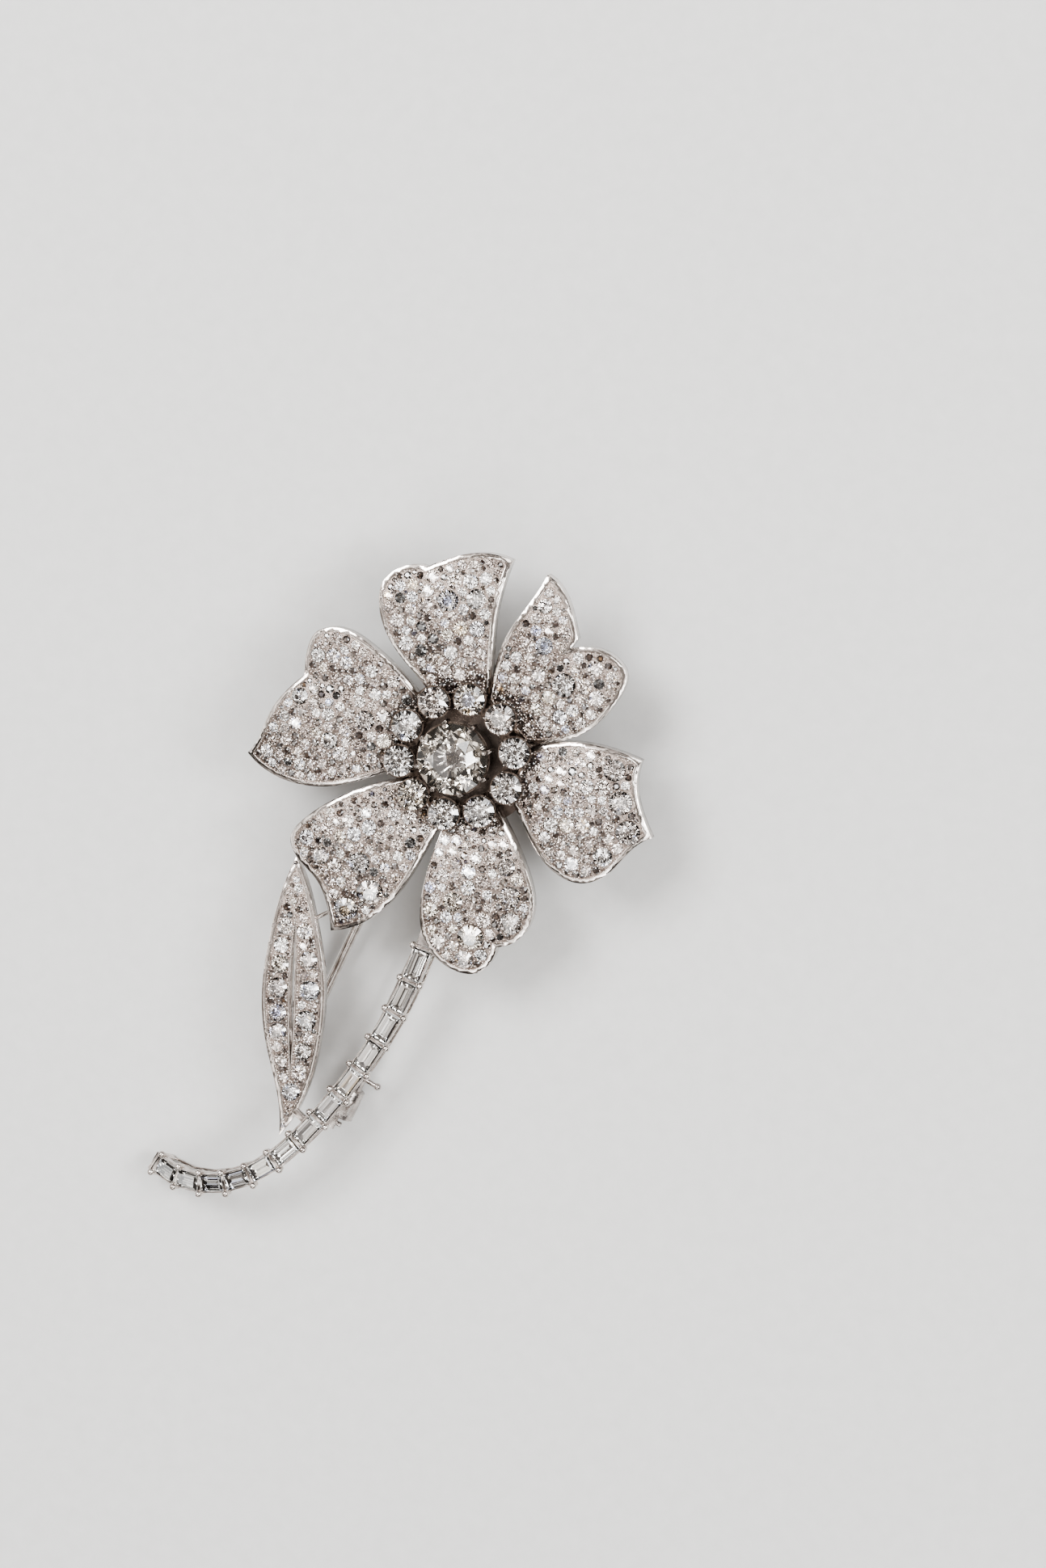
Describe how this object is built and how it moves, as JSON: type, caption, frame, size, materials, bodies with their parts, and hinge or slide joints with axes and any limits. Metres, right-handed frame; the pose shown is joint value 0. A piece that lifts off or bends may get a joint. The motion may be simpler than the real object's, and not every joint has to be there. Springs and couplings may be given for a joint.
{
  "type": "brooch",
  "caption": "Flower spray brooch with domed pave petals, a ring of stones, a slit leaf and a baguette stem, on a hinged fork pin with turning safety catches.",
  "frame": {"origin": "middle of the bottom of the whole brooch's box, on the surface that it lies on", "axes": "+Z out of the front face, +Y up the brooch from the stem to the flower, +X to the wearer's left"},
  "size_m": [0.0602, 0.0748, 0.0162],
  "materials": {
    "diamond": "cut and polished",
    "centre_diamond": "cut and polished, faintly warm",
    "pave_metal": "drilled and cut up into grains",
    "polished_metal": "polished",
    "back_metal": "filed and lightly polished",
    "pin_metal": "drawn wire, polished"
  },
  "bodies": {
    "brooch": {"centre_claws": "polished_metal", "centre_collet": "polished_metal", "centre_stone": "centre_diamond", "flower_hub": "pave_metal", "hinge_base": "back_metal", "hinge_rivet": "pin_metal", "leaf_link": "polished_metal", "leaf_plate": "pave_metal", "leaf_rim": "polished_metal", "leaf_slit_rail": "polished_metal", "leaf_stones": "diamond", "leaf_strut": "polished_metal", "left_catch_housing": "back_metal", "left_catch_post": "back_metal", "petal_1_plate": "pave_metal", "petal_1_rim": "polished_metal", "petal_1_stones": "diamond", "petal_2_plate": "pave_metal", "petal_2_rim": "polished_metal", "petal_2_stones": "diamond", "petal_3_plate": "pave_metal", "petal_3_rim": "polished_metal", "petal_3_stones": "diamond", "petal_4_plate": "pave_metal", "petal_4_rim": "polished_metal", "petal_4_stones": "diamond", "petal_5_plate": "pave_metal", "petal_5_rim": "polished_metal", "petal_5_stones": "diamond", "petal_6_plate": "pave_metal", "petal_6_rim": "polished_metal", "petal_6_stones": "diamond", "petal_posts": "back_metal", "right_catch_housing": "back_metal", "right_catch_post": "back_metal", "ring_claws": "polished_metal", "ring_collets": "polished_metal", "ring_gallery": "back_metal", "ring_stones": "diamond", "stem_baguettes": "diamond", "stem_beads": "polished_metal", "stem_cross_bars": "polished_metal", "stem_end_cap": "polished_metal", "stem_posts": "polished_metal", "stem_root": "back_metal", "stem_top_rails": "polished_metal", "stem_under_rails": "polished_metal"},
    "pin_fork": {"pin_barrel": "pin_metal", "pin_crossbar": "pin_metal", "pin_prong_left": "pin_metal", "pin_prong_right": "pin_metal"},
    "left_rotor": {"left_catch_rotor": "back_metal", "left_catch_lever": "back_metal"},
    "right_rotor": {"right_catch_rotor": "back_metal", "right_catch_lever": "back_metal"}
  },
  "joints": [
    {"name": "pin_hinge", "type": "hinge", "parent": "brooch", "child": "pin_fork", "pos_m": [0.00782, 0.01293, 0.00208], "axis": [0.9019, -0.432, 0], "range_deg": [0, 100]},
    {"name": "left_rotor_turn", "type": "hinge", "parent": "brooch", "child": "left_rotor", "pos_m": [-0.01068, -0.01702, 0.00208], "axis": [0.432, 0.9019, 0], "range_deg": [0, 105]},
    {"name": "right_rotor_turn", "type": "hinge", "parent": "brooch", "child": "right_rotor", "pos_m": [-0.00521, -0.02297, 0.00208], "axis": [-0.432, -0.9019, 0], "range_deg": [0, 105]}
  ]
}
